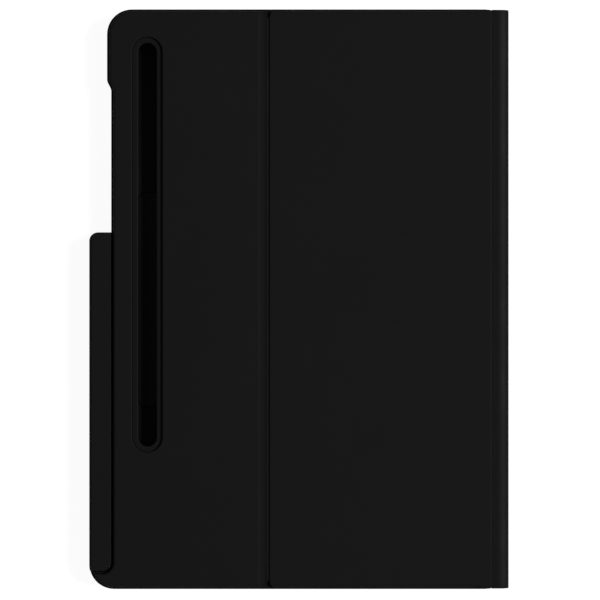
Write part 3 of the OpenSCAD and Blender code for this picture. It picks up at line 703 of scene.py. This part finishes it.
def make_crease():
    """The thin strip of skin that the stand flap turns on. It sags a little between the covers:
    by 0.3 sin(pi u), u running from the cover to the flap."""
    x0, x1 = crease_x - 0.02, flap_x0 + 0.02
    lo, hi = low("crease_strip"), high("crease_strip")
    u = np.linspace(0, 1, 9)
    sag = 0.3 * np.sin(np.pi * u)
    path = [((x, z), (0, 1)) for x, z in zip(x0 + (x1 - x0) * u, hi[2] - sag)]
    strip = closed_sweep("crease_skin", path, strip_profile(hi[1], hi[2] - lo[2] - 0.3, 0.08),
                         "edge", None, "soft_skin")
    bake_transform(strip)
    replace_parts(strip, "crease_strip")


def make_underside():
    """Skin under the keyboard: its edge turns up on a small quarter circle."""
    x0, half = low("base_skin")[0], high("base_skin")[1]
    r = corner_r
    line = np.concatenate([
        arc(x0 + r, -half + r, r, 180, 270, 20), [[land_x1, -half]], [[land_x1, half]],
        arc(x0 + r, half - r, r, 90, 180, 20)])
    radius = np.where(line[:, 0] > land_x1 - 1, 0.02, 0.35)
    thing = wrapped_panel("underside_skin", line, radius, radius, 0.0, level_at(skin_t), "under",
                          "keyboard_base", "soft_skin", proud=0.0)
    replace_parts(turned_over(thing, skin_t), "base_skin")


# ---- Moulded parts ----

def make_moulded_parts():
    """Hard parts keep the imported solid's shape, with their outward edges eased."""
    deck_y, deck_z = high("keyboard_deck")[1:]

    def brim(ends):
        """The tray's outer top edge, between the slot and the spine."""
        level = (abs(ends[:, 2] - tray_z1) < 0.01).all()
        return level and not in_slot(ends, slot_r + 2).any() and (ends[:, 0] < land_x1 - 5).any()

    def deck_rim(ends):
        """The deck's outer top edge along its two short ends."""
        level = (abs(ends[:, 2] - deck_z) < 0.01).all()
        return level and (abs(ends[:, 1]) > deck_y - 0.05).any()

    eased("tray_shell", "tray_shell_moulding", 0.22, "tray", "tray", brim, 0.45, steps=4)
    eased("pen_holder", "pen_holder_moulding", 0.15, "holder", "tray", rim=0.3)
    eased("base_shell", "base_shell_moulding", 0.15, "shell", "keyboard_base")
    eased("keyboard_deck", "keyboard_deck_plate", 0.15, "deck", "keyboard_base", deck_rim,
          0.3)
    eased("touchpad_plate", "touchpad_surface", 0.15, "pad", "touchpad")
    eased("power_switch_knob", "power_switch_grip", 0.12, "knob", "power_switch")
    eased("usb_c_socket", "charging_socket_shell", 0.06, "nickel", "keyboard_base", steps=2)
    eased("land_board", "land_board_edge", 0.1, "board", "tray")
    eased("spine_board", "spine_board_edge", 0.1, "board", "spine")
    # These are shown as packed
    for node, paint in {
            "spine_facing": "cloth", "tray_lining": "cloth", "key_support_plate": "steel",
            "membrane_circuit": "film", "membrane_tail": "ribbon", "controller_board": "circuit",
            "touchpad_sensor": "circuit", "touchpad_click_switch": "steel", "rubber_domes": "dome",
            "battery_pack": "pouch", "battery_lead": "lead", "usb_c_tongue": "tongue",
            "status_lights": "light", "base_magnets": "nickel", "flap_catches": "steel",
            "flap_magnets": "nickel"}.items():
        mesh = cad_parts[node].data
        mesh.materials.clear()
        mesh.materials.append(MATERIALS[paint])


# ---- Keys ----

# Each node's first key in key widths from the esc key's side, its keys' widths and their legends
KEYS = {
    "function_row_keys": (0, [15 / 14] * 14, ["esc"] + ["F%d" % n for n in range(1, 13)] + ["del"]),
    "number_row_keys": (0, [1] * 13, ["~ `", "! 1", "@ 2", "# 3", "$ 4", "% 5", "^ 6", "& 7", "* 8",
                                      "( 9", ") 0", "_ -", "+ ="]),
    "backspace_key": (13, [2], ["backspace"]),
    "tab_key": (0, [1.5], ["tab"]),
    "top_letter_keys": (1.5, [1] * 12 + [1.5], list("QWERTYUIOP") + ["{ [", "} ]", "| \\"]),
    "caps_lock_key": (0, [1.75], ["caps lock"]),
    "home_letter_keys": (1.75, [1] * 11, list("ASDFGHJKL") + [": ;", "\" '"]),
    "enter_key": (12.75, [2.25], ["enter"]),
    "left_shift_key": (0, [2.25], ["shift"]),
    "bottom_letter_keys": (2.25, [1] * 10, list("ZXCVBNM") + ["< ,", "> .", "? /"]),
    "right_shift_key": (12.25, [2.75], ["shift"]),
    "control_key": (0, [1.25], ["ctrl"]),
    "function_key": (1.25, [1], ["fn"]),
    "command_key": (2.25, [1], ["cmd"]),
    "left_alt_key": (3.25, [1.25], ["alt"]),
    "space_bar": (4.5, [5.5], [""]),
    "right_alt_key": (10, [1], ["alt"]),
    "language_key": (11, [1], ["lang"]),
}
ARROWS = {"left_arrow_key": 180, "up_arrow_key": 90, "down_arrow_key": 270, "right_arrow_key": 0}
LEGEND_T = 0.012   # how far a legend's ink stands above the cap, in millimetres
ARROW_R = 1.15


def lettering(words, size):
    """Mesh points and faces of a word, thin and flat, its middle at the origin, in millimetres."""
    curve = bpy.data.curves.new("word", "FONT")
    curve.body, curve.size, curve.extrude = words, size, LEGEND_T
    curve.align_x, curve.align_y = "CENTER", "CENTER"
    curve.resolution_u = 3
    word = bpy.data.objects.new("word", curve)
    bpy.context.scene.collection.objects.link(word)
    bpy.context.view_layer.update()
    mesh = bpy.data.meshes.new_from_object(word.evaluated_get(bpy.context.evaluated_depsgraph_get()))
    points = np.zeros(len(mesh.vertices) * 3)
    mesh.vertices.foreach_get("co", points)
    faces = [list(f.vertices) for f in mesh.polygons]
    bpy.data.objects.remove(word)
    bpy.data.meshes.remove(mesh)
    return points.reshape(-1, 3), faces


def legends_of(node):
    """Legends of a node's keys: capitals in the middle, symbol pairs one over the other, and
    words small. A reader sits on the pen holder's side, so a word runs towards -y."""
    start, widths, labels = KEYS[node]
    middle_x = (low(node)[0] + high(node)[0]) / 2
    vertices, faces, count = [], [], 0
    for i, label in enumerate(labels):
        middle_y = key_field_half - (start + sum(widths[:i]) + widths[i] / 2) * key_pitch
        pair = label.split(" ") if " " in label and label != "caps lock" else None
        if pair:
            parts = [(pair[0], 3.1, 2.6), (pair[1], 3.1, -2.4)]
        elif node == "function_row_keys":
            parts = [(label, 2.5, 0)]
        else:
            parts = [(label, 4.0 if len(label) == 1 else 2.9, 0)]
        for words, size, up in parts:
            if not words:
                continue
            points, some = lettering(words, size)
            vertices.append(np.c_[middle_x + up + points[:, 1], middle_y - points[:, 0],
                                  high(node)[2] + points[:, 2]])
            faces += [[k + count for k in f] for f in some]
            count += len(points)
    return (np.concatenate(vertices), faces) if vertices else None


def make_keys():
    """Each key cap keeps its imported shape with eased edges, and carries its legends. The F and J
    caps have a low bar for the fingers, and the arrows are small triangles."""
    for node in list(KEYS) + list(ARROWS):
        eased(node, node + "_caps", 0.28, "key", node, steps=3)
    for node in KEYS:
        legends = legends_of(node)
        if legends:
            merged(piece(node + "_legends", *legends, "legend", node, "keycap"), 0.001)
    for node, angle in ARROWS.items():
        x, y = (low(node)[:2] + high(node)[:2]) / 2
        a = np.radians(np.array([0, 120, 240]) + angle)
        flat = np.c_[x + ARROW_R * np.sin(a), y - ARROW_R * np.cos(a)]
        top = high(node)[2]
        vertices = np.concatenate([np.c_[flat, np.full(3, top + z)] for z in (-LEGEND_T, LEGEND_T)])
        faces = [[2, 1, 0], [3, 4, 5], [0, 1, 4, 3], [1, 2, 5, 4], [2, 0, 3, 5]]
        merged(piece(node + "_legend", vertices, faces, "legend", node, "keycap"))
    start, _, letters = KEYS["home_letter_keys"]
    for letter in "fj":
        y = key_field_half - (start + letters.index(letter.upper()) + 0.5) * key_pitch
        x = low("home_letter_keys")[0] + 2.4
        top = high("home_letter_keys")[2]
        turn = np.radians(np.linspace(0, 180, 9))
        # Sections of the bar: distance along it from its middle, and size
        sections = ((-1.75, 0.05), (-1.6, 0.7), (-1.35, 1), (1.35, 1), (1.6, 0.7), (1.75, 0.05))
        rings = [np.c_[x + 0.32 * k * np.cos(turn), np.full(9, y + w),
                       top - 0.03 + 0.2 * k * np.sin(turn)] for w, k in sections]
        faces = grid_faces(6, 9) + [list(range(9)), list(range(45, 54))[::-1]]
        merged(piece("finger_bar_" + letter, np.concatenate(rings), faces, "key",
                     "home_letter_keys", "keycap"))


# ---- Studio ----

FLOOR_R = 14000
FLOOR_GLOW = 0.93
SKY_LIGHT = 0.15
VIEW_MIDDLE = (0.45, -0.36)   # the point under the middle of the picture, in millimetres
VIEW_WIDE = 265.98   # the picture's width at the height of the tray's rim, in millimetres


def make_studio():
    """Floor and sky that the camera sees as white, a soft key lamp beyond the spine, a weak fill.
    The sky lights the case, and shows in its metal, at a much lower level than the camera sees."""
    p = Paint("white floor")
    path = p.tree.nodes.new("ShaderNodeLightPath")
    seen, glossy, through = (
        Level(p, path.outputs["Is %s Ray" % kind]) for kind in ("Camera", "Glossy", "Transmission"))
    seen = p.add("ShaderNodeMath", {0: seen, 1: glossy}, operation="MAXIMUM")
    seen = p.add("ShaderNodeMath", {0: seen, 1: through}, operation="MAXIMUM")
    glow = p.tree.nodes.new("ShaderNodeEmission")
    glow.inputs[0].default_value = (1, 1, 1, 1)
    p.tree.links.new((seen * FLOOR_GLOW).socket, glow.inputs[1])
    matt = p.tree.nodes.new("ShaderNodeBsdfDiffuse")
    matt.inputs[0].default_value = (0.2, 0.2, 0.2, 1)
    both = p.tree.nodes.new("ShaderNodeAddShader")
    p.tree.links.new(glow.outputs[0], both.inputs[0])
    p.tree.links.new(matt.outputs[0], both.inputs[1])
    out = p.tree.nodes.new("ShaderNodeOutputMaterial")
    p.tree.links.new(both.outputs[0], out.inputs[0])
    ring = arc(0, 0, FLOOR_R, 0, 360, 64)[:-1]
    mesh = bpy.data.meshes.new("floor")
    mesh.from_pydata((np.c_[ring, np.zeros(64)] * MM).tolist(), [], [list(range(64))])
    mesh.materials.append(p.material)
    floor = bpy.data.objects.new("floor", mesh)
    bpy.context.scene.collection.objects.link(floor)

    world = bpy.data.worlds.new("studio")
    bpy.context.scene.world = world
    world.use_nodes = True
    backdrop = world.node_tree.nodes["Background"]
    backdrop.inputs[0].default_value = (1, 1, 1, 1)
    rays = world.node_tree.nodes.new("ShaderNodeLightPath")
    strength = world.node_tree.nodes.new("ShaderNodeMapRange")
    strength.inputs[3].default_value, strength.inputs[4].default_value = SKY_LIGHT, 1.0
    world.node_tree.links.new(rays.outputs["Is Camera Ray"], strength.inputs[0])
    world.node_tree.links.new(strength.outputs[0], backdrop.inputs[1])
    for name, place, size, power in (
            ("key lamp", (4.35, 0.35, 4.7), 2.7, 464.0),
            ("far fill lamp", (-4.6, -0.6, 4.6), 2.6, 20.0)):
        data = bpy.data.lights.new(name, "AREA")
        data.shape, data.size, data.energy = "DISK", size, power
        lamp = bpy.data.objects.new(name, data)
        lamp.location = place
        lamp.rotation_euler = (-Vector(place)).to_track_quat("-Z", "Y").to_euler()
        bpy.context.scene.collection.objects.link(lamp)

    data = bpy.data.cameras.new("camera")
    data.lens, data.sensor_width = 200, 36
    data.clip_end = 50
    camera = bpy.data.objects.new("camera", data)
    height = tray_z1 + VIEW_WIDE * data.lens / data.sensor_width
    camera.location = Vector((*VIEW_MIDDLE, height)) * MM
    bpy.context.scene.collection.objects.link(camera)
    bpy.context.scene.camera = camera
    bpy.context.scene.view_settings.view_transform = "Standard"


make_back()
make_flap()
make_folds()
make_crease()
make_underside()
make_moulded_parts()
make_keys()
make_studio()
